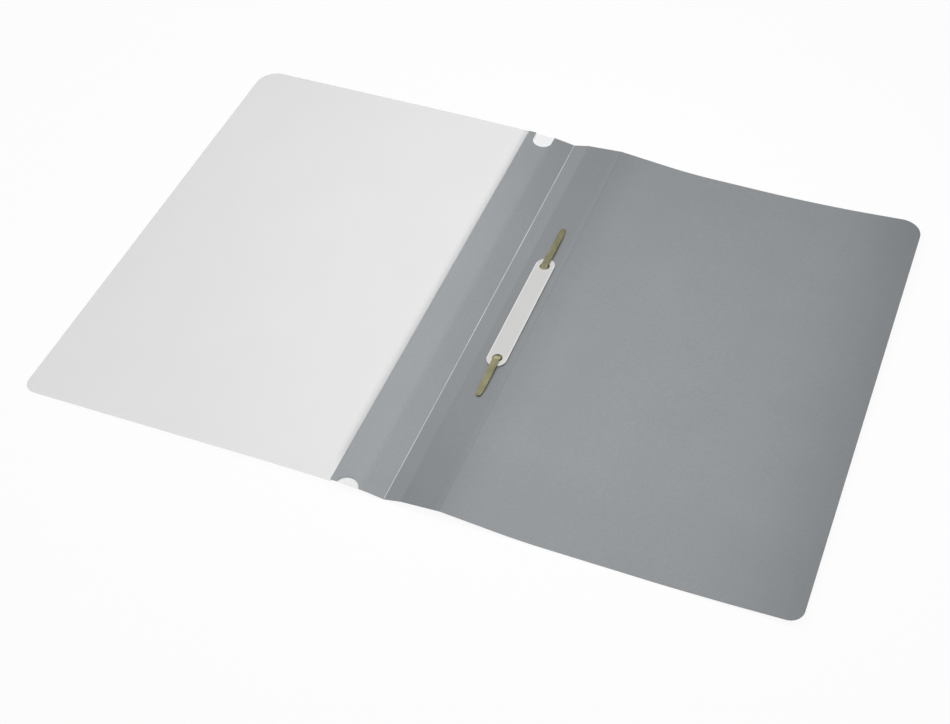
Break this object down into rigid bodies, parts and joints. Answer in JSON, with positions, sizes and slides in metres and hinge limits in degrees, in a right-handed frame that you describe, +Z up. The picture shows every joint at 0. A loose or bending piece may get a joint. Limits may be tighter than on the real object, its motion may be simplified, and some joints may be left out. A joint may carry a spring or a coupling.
{
  "type": "prong fastener folder",
  "caption": "Open A4 report file: creased grey back and spine, clear front cover, label pocket with finger notches, and a metal prong fastener under a white compressor bar.",
  "frame": {"origin": "middle of the open file's footprint, on the surface that it lies on", "axes": "+X from the clear front cover to the grey back cover, +Y along the spine towards the head of the file, +Z up out of the inside faces"},
  "size_m": [0.4446, 0.311, 0.0059],
  "materials": {
    "grey_sheet": "fine matt embossed polypropylene",
    "clear_sheet": "clear polypropylene with a faint matt haze",
    "label_paper": "plain white card",
    "fastener_metal": "dull brass-plated steel strip",
    "bar_plastic": "moulded white plastic"
  },
  "bodies": {
    "back": {"back_cover": "grey_sheet"},
    "margin": {"binding_margin": "grey_sheet", "fastener_base": "fastener_metal"},
    "spine": {"spine_panel": "grey_sheet"},
    "front": {"label_flap": "grey_sheet", "front_cover": "clear_sheet"},
    "label": {"label_card": "label_paper"},
    "compressor": {"compressor_bar": "bar_plastic"},
    "upper_prong": {"prong_upper": "fastener_metal"},
    "lower_prong": {"prong_lower": "fastener_metal"}
  },
  "joints": [
    {"name": "margin_fold", "type": "hinge", "parent": "back", "child": "margin", "pos_m": [0.02958, 0, 0.00467], "axis": [0, 1, 0], "range_deg": [-50, 10]},
    {"name": "spine_fold", "type": "hinge", "parent": "margin", "child": "spine", "pos_m": [0.00766, 0, 0.0029], "axis": [0, 1, 0], "range_deg": [-50, 99]},
    {"name": "front_fold", "type": "hinge", "parent": "spine", "child": "front", "pos_m": [-0.00205, 0, 0.0005], "axis": [0, 1, 0], "range_deg": [-79, 70]},
    {"name": "label_slide", "type": "slide", "parent": "front", "child": "label", "axis": [0, 1, 0], "range_m": [0, 0.28]},
    {"name": "bar_lift", "type": "slide", "parent": "margin", "child": "compressor", "axis": [-0.0802, 0, 0.9968], "range_m": [0, 0.00025]},
    {"name": "upper_prong_bend", "type": "hinge", "parent": "margin", "child": "upper_prong", "pos_m": [0.01898, 0.0372, 0.00557], "axis": [0.9968, 0, 0.0802], "range_deg": [0, 180]},
    {"name": "lower_prong_bend", "type": "hinge", "parent": "margin", "child": "lower_prong", "pos_m": [0.01898, -0.0404, 0.00557], "axis": [-0.9968, 0, -0.0802], "range_deg": [0, 180]}
  ]
}
